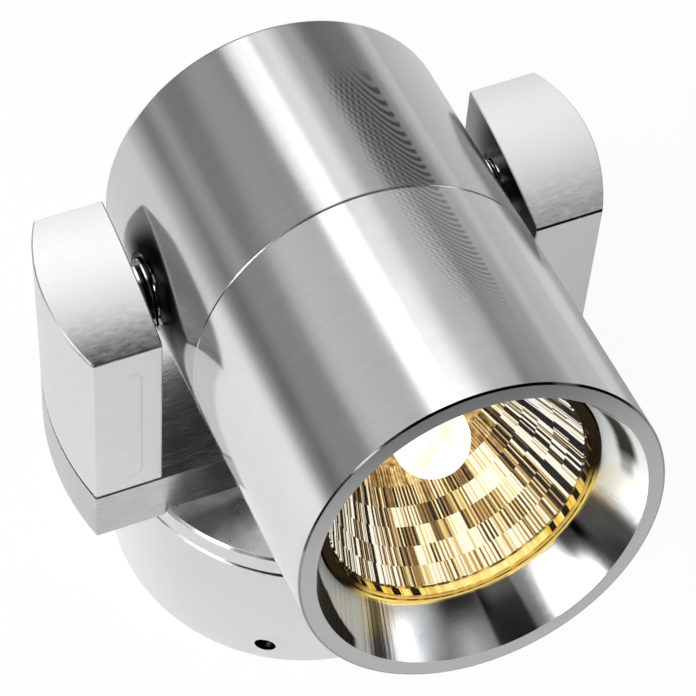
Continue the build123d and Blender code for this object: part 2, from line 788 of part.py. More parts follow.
# Lamp holder: a ceramic block with a round entry and an arc slot for each pin
slot_floor = pin_end - contact_gap - contact_thickness
with BuildPart() as lamp_holder:
    with BuildSketch(head_plane.offset(holder_back)):
        RectangleRounded(holder_width, holder_height, holder_corner)
    extrude(amount=holder_depth)
    for turn in (0, 180):
        path = CenterArc((0, 0), pin_pitch / 2, turn, lamp_twist, mode=Mode.PRIVATE)
        with BuildSketch(head_plane.offset(slot_floor)):
            SlotArc(path, pin_head + 2 * holder_slot_fit)
        extrude(amount=holder_front - holder_face - slot_floor, mode=Mode.SUBTRACT)
        with BuildSketch(head_plane.offset(holder_front)):
            SlotArc(path, pin_neck + 2 * holder_slot_fit)
        extrude(amount=-holder_face, mode=Mode.SUBTRACT)
        with BuildSketch(head_plane.offset(holder_front)):
            with PolarLocations(pin_pitch / 2, 1, start_angle=turn + lamp_twist):
                Circle(pin_head / 2 + holder_slot_fit)
        extrude(amount=-holder_face, mode=Mode.SUBTRACT)
    with BuildSketch(head_plane.offset(holder_back)):
        with Locations((0, -holder_screw_spacing / 2), (0, holder_screw_spacing / 2)):
            Circle(holder_screw_diameter / 2 + thread_fit)
    extrude(amount=holder_screw_bite + screw_clearance, mode=Mode.SUBTRACT)
save(lamp_holder.part, "lamp_holder")

with BuildPart() as holder_contacts:
    with BuildSketch(head_plane.offset(slot_floor)):
        with Locations((-pin_pitch / 2, 0), (pin_pitch / 2, 0)):
            Rectangle(contact_width, contact_width)
    extrude(amount=contact_thickness)
save(holder_contacts.part, "holder_contacts")

# Holder bracket: a folded strap from the barrel's floor to the back of the holder
bracket_half = holder_height / 2
with BuildPart() as holder_bracket:
    with BuildSketch(Plane(origin=pivot, x_dir=upwards, z_dir=(1, 0, 0)).offset(-holder_width / 2)):
        with BuildLine():
            Polyline(
                (-bracket_half - bracket_foot, floor_reach),
                (-bracket_half + bracket_sheet, floor_reach),
                (-bracket_half + bracket_sheet, holder_back - bracket_sheet),
                (bracket_half - bracket_sheet, holder_back - bracket_sheet),
                (bracket_half - bracket_sheet, floor_reach),
                (bracket_half + bracket_foot, floor_reach),
                (bracket_half + bracket_foot, floor_reach + bracket_sheet),
                (bracket_half, floor_reach + bracket_sheet),
                (bracket_half, holder_back),
                (-bracket_half, holder_back),
                (-bracket_half, floor_reach + bracket_sheet),
                (-bracket_half - bracket_foot, floor_reach + bracket_sheet),
                close=True,
            )
        make_face()
    extrude(amount=holder_width)
    with BuildSketch(head_plane.offset(holder_back)):
        with Locations((0, -holder_screw_spacing / 2), (0, holder_screw_spacing / 2)):
            Circle(holder_screw_diameter / 2 + screw_clearance / 2)
    extrude(amount=-bracket_sheet, mode=Mode.SUBTRACT)
    with BuildSketch(head_plane.offset(floor_reach)):
        with Locations((0, -bracket_reach), (0, bracket_reach)):
            Circle(bracket_screw_diameter / 2 + screw_clearance / 2)
    extrude(amount=bracket_sheet, mode=Mode.SUBTRACT)
save(holder_bracket.part, "holder_bracket")

with BuildPart() as holder_screws:
    for row in (-1, 1):
        place = head_plane.from_local_coords((0, row * holder_screw_spacing / 2, holder_back - bracket_sheet))
        under_head = Plane(origin=place, x_dir=(1, 0, 0), z_dir=-forwards)
        cap_screw(under_head, holder_screw_diameter, bracket_sheet + holder_screw_bite)
save(holder_screws.part, "holder_screws")

with BuildPart() as bracket_screws:
    for row in (-1, 1):
        place = head_plane.from_local_coords((0, row * bracket_reach, floor_reach + bracket_sheet))
        under_head = Plane(origin=place, x_dir=(1, 0, 0), z_dir=forwards)
        cap_screw(under_head, bracket_screw_diameter, bracket_sheet + bracket_screw_bite)
save(bracket_screws.part, "bracket_screws")

with BuildPart() as head_earth_screw:
    place = head_plane.from_local_coords((head_earth_offset, 0, floor_reach))
    under_head = Plane(origin=place, x_dir=(1, 0, 0), z_dir=forwards)
    cap_screw(under_head, bracket_screw_diameter, bracket_screw_bite)
save(head_earth_screw.part, "head_earth_screw")

print("pivot height", round(pivot_height, 2), "bar top", round(bar_top, 2), "cheek top", round(cheek_top, 2))
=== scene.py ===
import math
import bpy
from mathutils import Matrix, Vector


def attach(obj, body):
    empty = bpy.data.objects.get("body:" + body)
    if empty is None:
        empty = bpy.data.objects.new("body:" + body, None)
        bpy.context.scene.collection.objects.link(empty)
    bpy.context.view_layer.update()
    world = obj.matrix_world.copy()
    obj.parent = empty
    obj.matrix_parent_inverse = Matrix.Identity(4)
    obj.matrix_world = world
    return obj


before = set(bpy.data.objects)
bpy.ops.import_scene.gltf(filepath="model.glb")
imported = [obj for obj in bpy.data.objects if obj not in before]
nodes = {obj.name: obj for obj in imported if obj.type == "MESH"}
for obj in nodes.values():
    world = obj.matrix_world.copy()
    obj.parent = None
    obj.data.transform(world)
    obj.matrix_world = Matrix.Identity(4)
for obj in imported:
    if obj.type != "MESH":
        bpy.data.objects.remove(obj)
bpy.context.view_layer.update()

scene = bpy.context.scene
scene.view_settings.view_transform = "Standard"

# the head's own axes at rest, in metres and unit vectors
head = {"tilt": math.radians(15.2), "pivot": Vector((0, 0, 0.0923232))}
forwards = Vector((0, -math.cos(head["tilt"]), math.sin(head["tilt"])))
upwards = Vector((0, math.sin(head["tilt"]), math.cos(head["tilt"])))
rightwards, skywards = Vector((1, 0, 0)), Vector((0, 0, 1))
frontwards, backwards = Vector((0, -1, 0)), Vector((0, 1, 0))
fullTurn = 2 * math.pi
inDegrees = 180 / math.pi
inMillimetres, millimetre = 1000, 0.001
black = (0, 0, 0, 1)


class Wire:  # a node socket, with the sums that materials and trees are written in
    def __init__(self, tree, socket=None):
        self.tree, self.socket = tree, socket

    def node(self, kind, settings=None, inputs=None, out=0):
        made = self.tree.nodes.new(kind)
        for name, value in (settings or {}).items():
            if name == "stops":
                self.fillRamp(made.color_ramp.elements, value)
            else:
                setattr(made, name, value)
        for name, value in (inputs or {}).items():
            if isinstance(value, Wire):
                self.tree.links.new(value.socket, made.inputs[name])
            else:
                made.inputs[name].default_value = value
        return Wire(self.tree, made.outputs[out] if made.outputs else None)

    def fillRamp(self, elements, stops):
        elements[0].position, elements[1].position = stops[0][0], stops[-1][0]
        for stop in stops[1:-1]:
            elements.new(stop[0])
        for element, stop in zip(elements, stops):
            element.color = (*stop[1], 1)

    def maths(self, operation, *values):
        return self.node("ShaderNodeMath", {"operation": operation}, dict(enumerate(values)))

    def __add__(self, other): return self.maths("ADD", self, other)
    __radd__ = __add__
    def __sub__(self, other): return self.maths("SUBTRACT", self, other)
    def __rsub__(self, other): return self.maths("SUBTRACT", other, self)
    def __mul__(self, other): return self.maths("MULTIPLY", self, other)
    __rmul__ = __mul__
    def __truediv__(self, other): return self.maths("DIVIDE", self, other)
    def __rtruediv__(self, other): return self.maths("DIVIDE", other, self)
    def __pow__(self, other): return self.maths("POWER", self, other)
    def __gt__(self, other): return self.maths("GREATER_THAN", self, other)
    def __lt__(self, other): return self.maths("LESS_THAN", self, other)
    def __mod__(self, other): return self.maths("FLOORED_MODULO", self, other)

    def floor(self): return self.maths("FLOOR", self)
    def cosine(self): return self.maths("COSINE", self)
    def sine(self): return self.maths("SINE", self)
    def absolute(self): return self.maths("ABSOLUTE", self)
    def larger(self, other): return self.maths("MAXIMUM", self, other)
    def angle(self, sideways): return self.maths("ARCTAN2", self, sideways)
    def hypot(self, other): return (self * self + other * other) ** 0.5
    def clip(self): return self.node("ShaderNodeClamp", None, {0: self})

    def span(self, low, high, fromLow, fromHigh):  # a soft step between two values
        return self.node("ShaderNodeMapRange", {"interpolation_type": "SMOOTHSTEP"},
                         {0: self, 1: fromLow, 2: fromHigh, 3: low, 4: high})

    def within(self, low, high, soft):  # one between two values, nought outside
        return self.span(0, 1, low - soft, low + soft) * self.span(1, 0, high - soft, high + soft)

    def blend(self, first, second):  # two colours, by this value
        return self.node("ShaderNodeMix", {"data_type": "RGBA"}, {0: self, 6: first, 7: second}, 2)

    def dimmed(self, share):  # this colour, darkened
        return self.node("ShaderNodeMix", {"data_type": "RGBA"}, {0: share, 6: black, 7: self}, 2)

    def ramp(self, stops):  # a colour for this value
        return self.node("ShaderNodeValToRGB", {"stops": stops}, {0: self})

    def along(self, axis, origin=(0, 0, 0)):  # distance along an axis, from a place
        flat = self.node("ShaderNodeVectorMath", {"operation": "SUBTRACT"}, {0: self, 1: origin})
        return self.node("ShaderNodeVectorMath", {"operation": "DOT_PRODUCT"}, {0: flat, 1: axis}, 1)

    def scaled(self, sizes):
        return self.node("ShaderNodeMapping", None, {0: self, 3: sizes})

    def noise(self, scale, detail=2.0, rough=0.5):
        return self.node("ShaderNodeTexNoise", None,
                         {"Vector": self, "Scale": scale, "Detail": detail, "Roughness": rough})

    def ridges(self, scale, detail=2.0, rough=0.5):  # noise along one line
        return self.node("ShaderNodeTexNoise", {"noise_dimensions": "1D"},
                         {"W": self * scale, "Scale": 1.0, "Detail": detail, "Roughness": rough})

    def bump(self, depth, strength=1.0):
        return self.node("ShaderNodeBump", None, {"Strength": strength, "Distance": depth, "Height": self})


def newFinish(name):
    made = bpy.data.materials.new(name)
    made.use_nodes = True
    made.node_tree.nodes.clear()
    start = Wire(made.node_tree)
    return made, start, start.node("ShaderNodeTexCoord", out="Object")


socketNames = {"colour": "Base Color", "metal": "Metallic", "rough": "Roughness", "normal": "Normal",
               "alpha": "Alpha", "edge": "Specular Tint", "glow": "Emission Color",
               "glowLevel": "Emission Strength"}


def closeFinish(start, **sockets):
    inputs = {socketNames[name]: value for name, value in sockets.items()}
    shader = start.node("ShaderNodeBsdfPrincipled", None, inputs)
    start.node("ShaderNodeOutputMaterial", None, {"Surface": shader})


def grey(level):
    return (level, level, level, 1)


# in the looks below a window is (low, high, softness), a step is (low, high, from, to) and a noise is (scale, detail),
# with a roughness if that isn't 0.5; tubes are measured in mm along and degrees round their axis, blocks in metres

# the cone inside the mouth: a cooler tint painted where the lamp is mirrored, milky there, and dark streaks, a
# crescent, bands and patches painted in as dark reflections
def mouthPatches(look, colour, rough, cone, rim, reach, radius, turn):
    lampSide = turn.within(*look["lampLeft"]) + (1 - turn.within(*look["offLampRight"]))
    lampSide = lampSide + turn.within(*look["lampLow"]) * look["lampLowShare"]
    milky = turn.within(*look["milky"]) * reach.span(*look["milkyReach"])
    # a cooler tint painted where the lamp is mirrored, to cool its warm reflection
    colour = (cone * lampSide).blend(colour, look["cool"])
    # the flat rim painted darker
    colour = (rim * look["rimDarkening"]).blend(colour, grey(look["rimTone"]))
    # painted dark reflections on the cone: streaks, a crescent, bands and patches
    streakNoise = turn.ridges(*look["streakNoise"])
    darkStreaks = turn.within(*look["darkStreaks"]) * streakNoise.span(*look["darkStreakDepth"]) * turn.span(*look["darkStreakTurn"])
    slant = (turn - look["crescentTurn"]).larger(0.0) * look["crescentSlant"]
    crescent = turn.within(*look["crescent"]) * (reach - slant).span(*look["crescentReach"])
    band = turn.within(*look["band"]) * reach.within(*look["bandReach"]) * look["bandDepth"]
    tail = (1 - turn.within(*look["offTail"])) * reach.within(*look["tailReach"]) * look["tailDepth"]
    band = band + tail
    paintedDark = crescent * look["crescentDepth"] + band + darkStreaks
    for window, depth in look["patches"]:
        paintedDark = paintedDark + turn.within(*window) * reach.span(*depth)
    colour = (cone * paintedDark.clip()).blend(colour, grey(look["paintedDark"]))
    dull = ((lampSide + milky) * (1 - crescent) * (1 - band)).clip() * cone
    rough = rough + cone * (crescent + band) * look["paintedDarkRough"] + cone * lampSide * look["lampRough"]
    # the broken front edge, painted dark as a dark reflection, darkest at the top
    edge = (radius > look["edgeFrom"]) * (reach > look["rimFace"] - look["edgeDepth"])
    edge = edge * (look["edgeShade"] + turn.within(*look["edgeTop"]) * look["edgeTopShade"])
    colour = edge.blend(colour, grey(look["edgeTone"]))
    return colour, 1 - dull * look["dull"], rough


# stripes along a tube, painted darker or lighter than the rest as painted reflections, and the shaded seam between the
# barrels
def tubeStripes(look, colour, rough, reach, turn, outside):
    for low, high, soft, amount, level in look["stripes"]:
        # each stripe is a painted reflection, darker or lighter than the tube
        colour = (turn.within(low, high, soft) * outside * amount).blend(colour, grey(level))
    rough = rough * (1 - turn.within(*look["sharpSide"]) * outside * look["sharper"])
    seam = reach.within(*look["seam"]) * turn.within(*look["seamTurn"])
    return (seam * look["seamShade"]).blend(colour, grey(look["seamTone"])), rough


# ripples left by the turning tool on one side
def toolRipples(look, colour, reach, turn, outside):
    turn = turn - look["turn"]
    stepped = turn + (reach * (fullTurn / look["step"])).sine() * turn.span(*look["stepFade"])
    curl = (stepped * stepped + look["bend"]) ** 0.5 * look["curl"]
    wave = ((reach * look["rate"] + reach * reach * look["gain"] + curl) * fullTurn).sine()
    wave = wave.span(*look["crest"]) * turn.span(*look["crestFade"])
    window = outside
    for step in look["turnFades"]:
        window = window * turn.span(*step)
    for step in look["reachFades"]:
        window = window * reach.span(*step)
    return (wave * window * look["depth"]).blend(colour, grey(look["tone"]))


# the walls of the grub screws' holes, and the lip under the disc, painted dark: painted shade in the recess and the
# gap
def grubHoles(look, colour, place, reach, sideways):
    across = Vector((-math.sin(look["turn"]), math.cos(look["turn"]), 0))
    hole = (place.along(across) * inMillimetres).hypot(reach - look["rise"]) < look["size"]
    lip = (reach > look["lipFrom"]) * sideways.span(*look["lipSide"])
    return hole.larger(lip).blend(colour, grey(look["tone"]))


# turned satin aluminium: fine rings round an axis
def turnedFinish(name, look):
    made, start, place = newFinish(name)
    axes = (look["axis"], look["across"], look["rise"])
    reach, sideways, rise = [place.along(axis, look["origin"]) * inMillimetres for axis in axes]
    fine = reach.ridges(*look["lines"])
    broad = reach.ridges(*look["bands"])
    cloud = place.noise(*look["cloud"])
    tone = ((fine - 0.5) + (broad - 0.5) * look["bandShare"]) * look["contrast"]
    tone = tone + (cloud - 0.5) * look["cloudShare"]
    rough = (fine - 0.5) * look["lineRough"] + (cloud - 0.5) * look["cloudRough"] + look["rough"]
    height, metal = fine, 1.0
    if "stripes" in look:
        radius = sideways.hypot(rise)
        turn = rise.angle(sideways) * inDegrees
        outside = radius > look["outside"]
    if "mouth" in look:  # inside the mouth the metal is polished; the flat rim is plain turned and painted darker
        mouth = look["mouth"]
        cone = (radius < mouth["radius"]) * (reach > mouth["back"])
        rim = (reach > mouth["rimFace"]) * (1 - cone)
        tone = tone * (1 - cone * mouth["evenness"]) + cone * mouth["lift"] - rim * mouth["rimShade"]
        rough = rough * (1 - cone) * (1 - rim) + cone * mouth["polish"] + rim * mouth["rimPolish"]
        height = height * (cone * mouth["grooves"] + 1)
    colour = (tone + 0.5).clip().blend(grey(look["dark"]), grey(look["light"]))
    if "mouth" in look:
        colour, metal, rough = mouthPatches(mouth, colour, rough, cone, rim, reach, radius, turn % 360)
    if "stripes" in look:
        colour, rough = tubeStripes(look, colour, rough, reach, turn % 360, outside)
        colour = toolRipples(look["ripples"], colour, reach, turn, outside)
    if "holes" in look:
        colour = grubHoles(look["holes"], colour, place, reach, sideways)
    closeFinish(start, colour=colour, metal=metal, rough=rough, normal=height.bump(look["depth"]))
    return made


turned = {"lines": (11.0, 1.0), "bands": (0.7, 2.0), "bandShare": 0.4, "cloud": (90.0, 4.0), "cloudShare": 0.2,
          "lineRough": 0.08, "cloudRough": 0.06, "depth": 0.0000012}
rippleLook = {"turn": 66.5, "rate": 0.27, "gain": 0.0052, "curl": 0.6, "bend": 16, "step": 1.67,
              "stepFade": (0, 0.35, 4, 9), "crest": (0, 1, -0.5, 0.6), "crestFade": (1, 0.8, 1, 7),
              "turnFades": [(0, 1, -1.6, -0.4), (1, 0, 11, 18)],
              "reachFades": [(0, 1, -10, 0), (1, 0.5, 22, 28), (1, 0, 44, 62)], "depth": 0.82, "tone": 0.06}
mouthLook = {"radius": 29.45, "back": 60.0, "evenness": 0.7, "lift": 0.25, "polish": 0.19, "grooves": 2.0,
             "rimFace": 76.3, "rimShade": 0.6, "rimPolish": 0.12, "rimDarkening": 0.3, "rimTone": 0.3,
             "cool": (0.9, 0.96, 1.0, 1), "dull": 0.75, "lampRough": 0.2,
             "lampLeft": (185, 223, 5), "offLampRight": (30, 356, 4), "lampLow": (340, 356, 4), "lampLowShare": 0.45,
             "milky": (260, 270, 7), "milkyReach": (0, 0.75, 67.5, 76),
             # the streaks, crescent, bands and patches below are painted dark reflections on the cone
             "streakNoise": (1.1, 3.0, 0.7), "darkStreaks": (188, 236, 4), "darkStreakDepth": (0.75, 0, 0.35, 0.55),
             "darkStreakTurn": (0.3, 1, 216, 228), "paintedDark": 0.01, "paintedDarkRough": 0.3,
             "crescent": (180, 217, 2), "crescentReach": (0, 1, 70.6, 71.4), "crescentTurn": 198,
             "crescentSlant": 0.2, "crescentDepth": 0.97,
             "band": (4, 31, 4), "bandReach": (70.2, 74.2, 0.9), "bandDepth": 0.96,
             "offTail": (4, 356, 3), "tailReach": (70.6, 73.2, 0.7), "tailDepth": 0.5,
             "patches": [((274, 288, 1), (0.45, 0.8, 67, 71)), ((321, 337, 3), (0.7, 0.7, 67, 71)),
                         ((226, 231, 1.5), (0.6, 0.6, 67, 71)), ((311, 322, 3), (0.9, 0.35, 68, 75)),
                         ((258, 275, 5), (0.85, 0, 67, 73))],
             "edgeFrom": 32.1, "edgeDepth": 0.15, "edgeShade": 0.45, "edgeTop": (34, 113, 3),
             "edgeTopShade": 0.55, "edgeTone": 0.02}
turnedTube = dict(turned, axis=forwards, across=rightwards, rise=upwards, origin=head["pivot"], contrast=0.35,
                  rough=0.19, outside=32.2, ripples=rippleLook, sharpSide=(146, 222, 6), sharper=0.45,
                  seam=(25.4, 26.2, 0.1), seamTurn=(30, 112, 8), seamShade=0.6, seamTone=0.3)
# painted reflection stripes: low and high angle, softness, amount, tone
frontTube = dict(turnedTube, dark=0.62, light=0.9, mouth=mouthLook,
                 stripes=[(25, 37, 2.5, 0.4, 0.06), (46, 57, 2, 0.2, 0.06), (58.5, 66, 1.5, 0.5, 1.0)])
rearTube = dict(turnedTube, dark=0.44, light=0.76,
                stripes=[(57, 62.5, 1.5, 0.5, 0.95), (65, 81, 2.5, 0.38, 0.06), (90, 98, 2, 0.4, 0.95),
                         (102, 106, 2, 0.2, 0.06), (107, 124, 3, 0.26, 0.06), (130, 142, 3, 0.95, 1.0)])
turnedCap = dict(turned, axis=skywards, across=rightwards, rise=backwards, origin=Vector((0, 0, 0)),
                 contrast=0.3, dark=0.63, light=0.87, rough=0.2,
                 holes={"turn": math.radians(-121.5), "rise": 5.2, "size": 2.1, "tone": 0.015,
                        "lipFrom": 34.45, "lipSide": (0, 1, -30, -22)})


# the bar's front face is painted darker beside the head: painted shade and a painted dark reflection of the head
def barShade(look, place):
    east = place.along(rightwards)
    beside = east.span(*look["leftNear"]) + east.span(*look["leftFar"])
    onFace = (place.along(frontwards) > look["frontFrom"]) * (place.along(skywards) < look["topFrom"])
    return beside * east.span(*look["rightEnd"]) * onFace * look["depth"]


# cheeks: painted shade on the inner faces and on the right cheek's front, a leathery grain and painted shade towards
# the front of the top, and painted dark edges at the right cheek's front top and along the foot
def cheekShade(look, place):
    east, ahead, rise = [place.along(axis) for axis in (rightwards, frontwards, skywards)]
    onRight = east > 0
    onFront, onTop = ahead > look["frontFrom"], rise > look["topFrom"]
    near = ahead.hypot(rise - head["pivot"].z)
    # painted shade on the inner faces, round the pivot on the left and towards the front on the right
    shade = near.span(*look["innerLeft"]) * (1 - onRight)
    shade = shade + ahead.span(*look["innerRight"]) * rise.span(*look["innerRise"]) * onRight
    shade = (east.absolute() < look["innerTo"]) * shade
    # the right cheek's front face painted a little darker: painted shade
    shade = shade + onRight * (rise < look["topFrom"]) * onFront * look["rightFront"]
    leather = place.scaled(look["leatherStretch"]).noise(*look["leatherNoise"])
    top = onTop * ahead.span(*look["topFade"])
    shade = shade - top * (leather - 0.5) * look["leather"]
    # the top painted darker towards its front: painted shade
    shade = shade + top ** look["topPower"] * (look["topDepth"] - onRight * look["topRightLess"])
    # a faint dark line painted on the front of the left cheek, in the shape of a slot outline
    slot = look["slot"]
    across = east - slot["middle"]
    beyond = ((rise - slot["rise"]).absolute() - slot["half"]).larger(0.0)
    outline = across.hypot(beyond).within(*slot["line"])
    shade = shade + outline * onFront * (across + slot["fadeFrom"]).span(*slot["fade"])
    # dark lines painted at the right cheek's front top edge, as a dark reflection, and along the foot, as the shadow
    # in the gap
    return shade + (onTop * onFront * onRight).larger(rise < look["seamTo"]) * look["seamDepth"]


# brushed aluminium: straight hairlines along one direction
def brushedFinish(name, look):
    made, start, place = newFinish(name)
    hair = place.scaled(look["stretch"]).noise(*look["hair"])
    cloud = place.noise(*look["cloud"])
    tone = ((hair - 0.5) + (cloud - 0.5) * look["cloudShare"]) * look["contrast"] + look["offset"]
    tone = tone - look["shader"](look["shade"], place)
    colour = (tone + 0.5).clip().blend(grey(look["dark"]), grey(look["light"]))
    rough = (hair - 0.5) * look["hairRough"] + look["rough"]
    closeFinish(start, colour=colour, metal=1.0, rough=rough, normal=hair.bump(look["depth"]))
    return made


brushed = {"hair": (1.0, 4.0, 0.65), "cloud": (45.0, 2.0), "cloudShare": 0.3, "hairRough": 0.2}
cheekSlot = {"middle": -0.0408, "rise": 0.0753, "half": 0.0159, "line": (0.0019, 0.0023, 0.0001),
             "fadeFrom": 0.004, "fade": (0, 0.13, 0.001, 0.006)}
cheekShading = {"innerTo": 0.03485, "innerLeft": (0.95, 0.0, 0.008, 0.016), "innerRight": (0.35, 0.95, -0.013, -0.004),
                "innerRise": (0, 1, 0.062, 0.078), "topFrom": 0.0998, "frontFrom": 0.0155, "rightFront": 0.1,
                "leatherStretch": (500.0, 1500.0, 1500.0), "leatherNoise": (1.0, 3.0, 0.6), "leather": 0.9,
                "topFade": (0, 1, 0.002, 0.0157), "topPower": 3, "topDepth": 0.6, "topRightLess": 0.5,
                "slot": cheekSlot, "seamTo": 0.0533, "seamDepth": 0.9}
cheekLook = dict(brushed, stretch=(300.0, 2600.0, 2600.0), dark=0.02, light=0.84, contrast=0.18, offset=0.41,
                 rough=0.38, depth=0.000004, shader=cheekShade, shade=cheekShading)
barShading = {"leftNear": (0, 0.6, -0.0345, -0.0295), "leftFar": (0, 0.4, -0.03, -0.022),
              "rightEnd": (1, 0, 0.022, 0.034), "frontFrom": 0.0155, "topFrom": 0.0526, "depth": 0.68}
barLook = dict(brushed, stretch=(160.0, 3500.0, 3500.0), dark=0.1, light=0.85, contrast=0.75, offset=0.08,
               rough=0.26, depth=0.000003, shader=barShade, shade=barShading)


# plain metals and insulators: an even tone with a fine cloud
def plainFinish(name, look):
    made, start, place = newFinish(name)
    cloud = place.noise(*look["grain"])
    colour = cloud.blend(look["dark"], look["light"])
    rough = (cloud - 0.5) * look["spread"] + look["rough"]
    metal = look["metal"]
    if "top" in look:  # the top painted darker in clouds and lighter towards its front, as painted shade and reflections of the bar and head; rougher, and less metallic along its front and beside the bar
        top = look["top"]
        onTop = place.along(skywards) > top["from"]
        ahead = place.along(frontwards)
        shade = place.noise(*top["cloud"]).span(*top["cloudEdges"]) + ahead.span(*top["front"])
        # painted shade and reflections on the disc's top
        colour = onTop.blend(colour, shade.clip().blend(top["dark"], top["light"]))
        rough = rough + onTop * top["rough"]
        metal = metal - onTop * (ahead.span(*top["paleFront"]) + ahead.span(*top["paleBack"])) * top["pale"]
    for window in look.get("rings", ()):  # dark rings painted across the washers
        colour = place.along(rightwards).absolute().within(*window).blend(colour, grey(look["ringTone"]))
    closeFinish(start, colour=colour, metal=metal, rough=rough, normal=cloud.bump(look["depth"], look["relief"]))
    return made


plain = {"grain": (300.0, 4.0, 0.6), "spread": 0.05, "metal": 1.0, "depth": 0.000001, "relief": 0.4}
discTop = {"from": 0.04055, "cloud": (160.0, 2.0), "cloudEdges": (-0.3, 0.3, 0.3, 0.7), "front": (0.15, 1, 0.02, 0.03),
           "dark": grey(0.45), "light": grey(1.0), "rough": 0.12, "pale": 0.3,
           "paleFront": (0, 1, 0.021, 0.029), "paleBack": (1, 0, 0.0165, 0.0195)}
plainLooks = {
    "polishedDisc": {"dark": grey(0.7), "light": grey(0.82), "rough": 0.16, "top": discTop},
    "brightSteel": {"dark": grey(0.55), "light": grey(0.7), "rough": 0.18},
    "washerSteel": {"dark": grey(0.8), "light": grey(0.92), "rough": 0.08, "ringTone": 0.02,
                    "rings": [(0.0316, 0.0324, 0.0001), (0.0327, 0.0336, 0.0001)]},
    "grubSteel": {"dark": grey(0.35), "light": grey(0.5), "rough": 0.1},
    "platedSteel": {"dark": grey(0.48), "light": grey(0.62), "rough": 0.32, "spread": 0.2},
    "brassParts": {"dark": (0.5, 0.36, 0.12, 1), "light": (0.75, 0.58, 0.25, 1), "rough": 0.25},
    "holderCeramic": {"dark": (0.78, 0.75, 0.68, 1), "light": (0.9, 0.88, 0.82, 1), "rough": 0.55, "metal": 0.0,
                      "depth": 0.00001},
    "terminalPlastic": {"dark": grey(0.8), "light": grey(0.88), "rough": 0.45, "metal": 0.0},
    "frictionPlastic": {"dark": grey(0.02), "light": grey(0.05), "rough": 0.5, "metal": 0.0},
}


# the lamp bowl's glass: gold lines on its front edge that glow as painted light from the capsule, with painted shade
# at the top, plain silver outside
def bowlFinish(name, look):
    made, start, place = newFinish(name)
    reach, sideways, rise = [place.along(axis, head["pivot"]) * inMillimetres
                             for axis in (forwards, rightwards, upwards)]
    turn = rise.angle(sideways)
    lines = ((sideways.hypot(rise) - look["from"]) / look["wide"]).ramp(look["stops"])
    patches = turn.ridges(*look["patches"]).span(*look["patchEdges"]) * look["patchShare"]
    low = 0 - (turn - look["lean"]).sine()
    colour = low.span(*look["shadow"]).blend(patches.blend(lines, look["patchColour"]), look["shadowColour"])
    front = reach > look["frontFrom"]
    closeFinish(start, colour=front.blend(look["outside"], colour), metal=1.0, rough=look["rough"],
                glow=front.blend(black, colour), glowLevel=look["glow"])
    return made


amberDark = (0.06, 0.03, 0.005)
bowlLook = {"from": 23.2, "wide": 2.0, "lean": 0.21, "glow": 0.8, "rough": 0.15, "frontFrom": 64.7,
            "outside": (0.5, 0.49, 0.47, 1), "patches": (9.0, 2.0), "patchEdges": (0, 1, 0.45, 0.6), "patchShare": 0.5,
            "patchColour": (0.9, 0.6, 0.15, 1), "shadow": (1, 0, 0.35, 0.6), "shadowColour": (0.012, 0.007, 0.002, 1),
            "stops": [(0.1, (0.05, 0.025, 0.005)), (0.2, (0.7, 0.42, 0.1)), (0.42, (0.9, 0.6, 0.16)),
                      (0.5, amberDark), (0.6, amberDark), (0.68, (0.97, 0.7, 0.18)), (0.9, (0.97, 0.75, 0.25))]}


def frontGlass(name, look):
    made, start, place = newFinish(name)
    rough = place.noise(*look["grain"]) * look["spread"] + look["rough"]
    closeFinish(start, colour=look["colour"], rough=rough, alpha=look["alpha"])
    return made


glassLook = {"grain": (120.0, 2.0), "spread": 0.04, "rough": 0.02, "colour": (0.95, 0.95, 0.93, 1), "alpha": 0.03}


def capsuleGlow(name, look):
    made, start, place = newFinish(name)
    glow = place.noise(*look["grain"]).span(*look["cloudEdges"]).blend(look["bright"], look["pale"])
    closeFinish(start, colour=look["colour"], rough=look["rough"], glow=glow, glowLevel=look["glow"])
    return made


capsuleLook = {"grain": (420.0, 3.0), "cloudEdges": (0, 1, 0.45, 0.65), "bright": (1.0, 1.0, 0.97, 1),
               "pale": (0.9, 0.82, 0.55, 1), "colour": (0.5, 0.48, 0.42, 1), "rough": 0.2, "glow": 1.25}

finishes = {
    "satinFrontTube": turnedFinish("satinFrontTube", frontTube),
    "satinRearTube": turnedFinish("satinRearTube", rearTube),
    "satinCanopy": turnedFinish("satinCanopy", turnedCap),
    "brushedCheeks": brushedFinish("brushedCheeks", cheekLook),
    "brushedBar": brushedFinish("brushedBar", barLook),
    "bowlGlass": bowlFinish("bowlGlass", bowlLook),
    "frontGlass": frontGlass("frontGlass", glassLook),
    "capsuleGlow": capsuleGlow("capsuleGlow", capsuleLook),
}
for name, look in plainLooks.items():
    finishes[name] = plainFinish(name, dict(plain, **look))
wearers = {
    "satinFrontTube": ["front_barrel"],
    "satinRearTube": ["rear_barrel"],
    "satinCanopy": ["canopy"],
    "brushedCheeks": ["cheek_left", "cheek_right"],
    "brushedBar": ["yoke_bar"],
    "polishedDisc": ["swivel_disc"],
    "washerSteel": ["pivot_washers_left", "pivot_washers_right"],
    "grubSteel": ["canopy_grub_screws"],
    "brightSteel": ["pivot_screw_left", "pivot_screw_right", "disc_screws", "cheek_screws", "swivel_stem",
                    "swivel_stop_pin", "pivot_springs"],
    "platedSteel": ["mounting_plate", "stem_washer", "stem_spring_washer", "stem_nut", "holder_bracket",
                    "holder_screws", "bracket_screws", "lamp_pins"],
    "brassParts": ["terminal_screws", "plate_earth_screw", "head_earth_screw", "holder_contacts"],
    "holderCeramic": ["lamp_holder", "lamp_base"],
    "terminalPlastic": ["terminal_block"],
    "frictionPlastic": ["friction_ring"],
    "bowlGlass": ["lamp_reflector"],
    "frontGlass": ["lamp_front_glass"],
    "capsuleGlow": ["lamp_capsule"],
}
